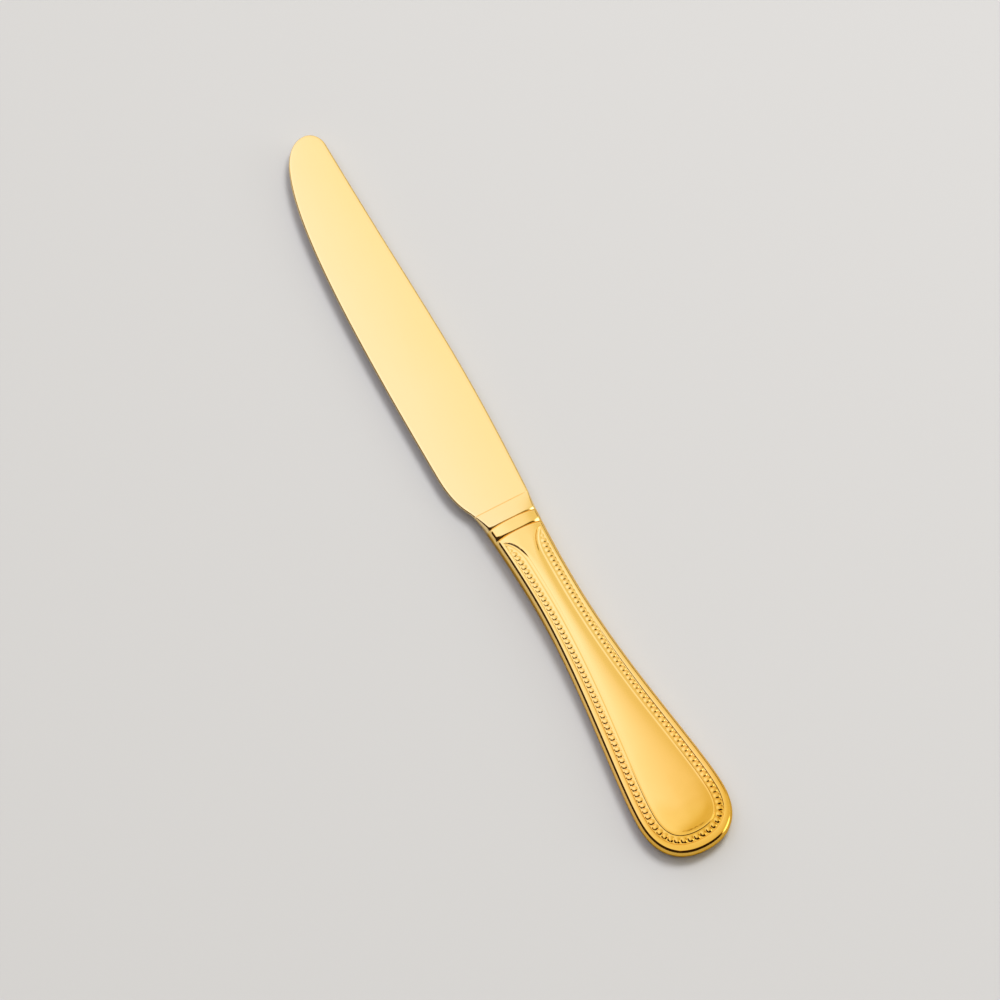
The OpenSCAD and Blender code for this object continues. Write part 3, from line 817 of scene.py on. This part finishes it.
def addTang(bm):
    half, chamfer = tang["width"] / 2, tang["thickness"] / 2
    back, front = neckX - tang["length"], neckX + neck["bolsterLength"] / 2
    outline = [(back, chamfer - half), (back + chamfer, -half), (front, -half),
               (front, half), (back + chamfer, half), (back, half - chamfer)]
    low, high = [addPoints(bm, [(x, y, z) for x, y in outline]) for z in (-chamfer, chamfer)]
    addStrip(bm, low, high, closed=True)
    bm.faces.new(low)
    bm.faces.new(high)


def makeBlade():
    bm = bmesh.new()
    addPlate(bm)
    addBolster(bm)
    addTang(bm)
    return finishPiece("polished_blade", bm, bladeGold, "blade")


makeBlade()
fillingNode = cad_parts["handle_filling"]
fillingNode.material_slots[0].material = cementGrey

# stage: plain pale floor, soft light from above and a softbox on the right
stage = {
    "floorSize": 14.0,                # m
    "floorColour": "#c3c3c5",
    "floorRoughness": 0.95,
    "keyPlace": (0.34, -0.64, 1.45),
    "keySize": 0.6,
    "keyPower": 16.0,
}
floorMesh = bpy.data.meshes.new("floor")
side = stage["floorSize"] / 2
corners = [(-side, -side, 0), (side, -side, 0), (side, side, 0), (-side, side, 0)]
floorMesh.from_pydata(corners, [], [(0, 1, 2, 3)])
floor = bpy.data.objects.new("floor", floorMesh)
bpy.context.scene.collection.objects.link(floor)

# Matt studio paper: no gloss, so the eye gets an even pale grey with the knife's soft shadow
paper = bpy.data.materials.new("Matt studio paper")
paper.use_nodes = True
sheet = paper.node_tree.nodes["Principled BSDF"]
sheet.inputs["Base Color"].default_value = linear(stage["floorColour"])
sheet.inputs["Roughness"].default_value = stage["floorRoughness"]
floorMesh.materials.append(paper)

# directions as the camera sees them, level with the floor
away, right, up = Vector((0.8805, -0.4741, 0)), Vector((-0.4741, -0.8805, 0)), Vector((0, 0, 1))

# Studio as the polished faces mirror it: bright above and to the left, calmer and warmer on the right,
# a white card low on the right, and a dark room behind the viewer and low on the left
studio = {
    "level": 1.6,
    "across": [                       # colours from left to right
        (0.0, "#dfe2f0"), (0.34, "#e1e5f9"), (0.43, "#dcdfe9"), (0.5, "#d8d8d8"), (0.55, "#d4d2ca"),
        (0.595, "#d1ccbb"), (0.63, "#ccc5aa"), (0.68, "#c8c09e"), (1.0, "#c8c0a4"),
    ],
    "shade": [                        # from the bright walls into the dark corners
        (0.0, "#ffffff"), (0.3, "#e8d48a"), (0.6, "#aa935c"), (1.0, "#33261a"),
    ],
    # patches: direction, cosines of the soft edge from outside to inside, and how much of them shows
    "darkBehind": (-0.77 * away + 0.48 * right + 0.3 * up, 0.72, 0.86, 1.0),
    "darkCorner": (-0.75 * away - 0.5 * right + 0.3 * up, 0.72, 0.86, 1.0),
    "darkLeft": (-0.2 * away - 0.96 * right + 0.2 * up, 0.72, 0.9, 1.0),
    "farWall": (0.86 * away - 0.23 * right + 0.46 * up, 0.85, 0.95, 0.09),    # only a little dimmer
    "darkRight": (0.76 * away + 0.62 * right + 0.19 * up, 0.96, 0.992, 0.7),
    "card": (1.9, 1.9, 1.9, 1.0),
    "cardPlace": (-0.08 * away + 0.96 * right + 0.2 * up, 0.95, 0.985, 1.0),
}
world = bpy.data.worlds.new("studio")
bpy.context.scene.world = world
world.use_nodes = True
sky = world.node_tree
sky.nodes.clear()
where = addNode(sky, "ShaderNodeTexCoord")
across = addNode(sky, "ShaderNodeVectorMath", {"operation": "DOT_PRODUCT"}, {1: right},
                 {0: (where, "Generated")})
acrossShare = addNode(sky, "ShaderNodeMapRange", inputs={"From Min": -1.0, "From Max": 1.0},
                      links={"Value": (across, "Value")})
walls = addNode(sky, "ShaderNodeValToRGB", links={"Fac": (acrossShare, "Result")})
fillRamp(walls, studio["across"])
patchNames = ("darkBehind", "darkCorner", "darkLeft", "farWall", "darkRight", "cardPlace")
patches = []
for towards, outer, inner, most in [studio[name] for name in patchNames]:
    facing = addNode(sky, "ShaderNodeVectorMath", {"operation": "DOT_PRODUCT"}, {1: towards.normalized()},
                     {0: (where, "Generated")})
    patch = addNode(sky, "ShaderNodeMapRange", {"interpolation_type": "SMOOTHSTEP"},
                    {"From Min": outer, "From Max": inner, "To Max": most}, {"Value": (facing, "Value")})
    patches.append(patch)
darkest = (patches[0], "Result")
for patch in patches[1:-1]:
    darker = addNode(sky, "ShaderNodeMath", {"operation": "MAXIMUM"},
                     links={0: darkest, 1: (patch, "Result")})
    darkest = (darker, "Value")
shade = addNode(sky, "ShaderNodeValToRGB", links={"Fac": darkest})
fillRamp(shade, studio["shade"])
room = addNode(sky, "ShaderNodeMix", {"data_type": "RGBA", "blend_type": "MULTIPLY"}, {0: 1.0},
               {6: (walls, "Color"), 7: (shade, "Color")})
lit = addNode(sky, "ShaderNodeMix", {"data_type": "RGBA"}, {7: studio["card"]},
              {0: (patches[-1], "Result"), 6: (room, 2)})
air = addNode(sky, "ShaderNodeBackground", inputs={"Strength": studio["level"]}, links={"Color": (lit, 2)})
addNode(sky, "ShaderNodeOutputWorld", links={"Surface": (air, "Background")})

lamp = bpy.data.lights.new("right softbox", "AREA")
lamp.shape = "SQUARE"
lamp.size = stage["keySize"]
lamp.energy = stage["keyPower"]
softbox = bpy.data.objects.new("right softbox", lamp)
softbox.location = stage["keyPlace"]
softbox.rotation_euler = (-Vector(stage["keyPlace"])).to_track_quat("-Z", "Y").to_euler()
softbox.visible_glossy = False                                # the mirrored studio is the world's part
bpy.context.scene.collection.objects.link(softbox)

# camera: looks down on the lying knife from its butt end, as seen from the knife's mid-plane
view = {
    "lens": 126.0,
    "sensor": 36.0,
    "elevation": 65.0,
    "azimuth": -118.42,
    "distance": 927.9,
    "aim": (110.9, -0.36, 0.0),
}
turn, rise = math.radians(view["azimuth"]), math.radians(view["elevation"])
back = Vector((math.sin(turn) * math.cos(rise), -math.cos(turn) * math.cos(rise), math.sin(rise)))
cameraData = bpy.data.cameras.new("camera")
cameraData.lens = view["lens"]
cameraData.sensor_width = view["sensor"]
camera = bpy.data.objects.new("camera", cameraData)
bpy.context.scene.collection.objects.link(camera)
tilt = Matrix.Rotation(-restPitch, 4, "Y")
camera.location = lay @ (Vector(view["aim"]) + back * view["distance"])
camera.rotation_mode = "QUATERNION"
camera.rotation_quaternion = (tilt @ (-back).to_track_quat("-Z", "Y").to_matrix().to_4x4()).to_quaternion()
bpy.context.scene.camera = camera
bpy.context.scene.view_settings.view_transform = "Standard"
print("stage, light and camera set")
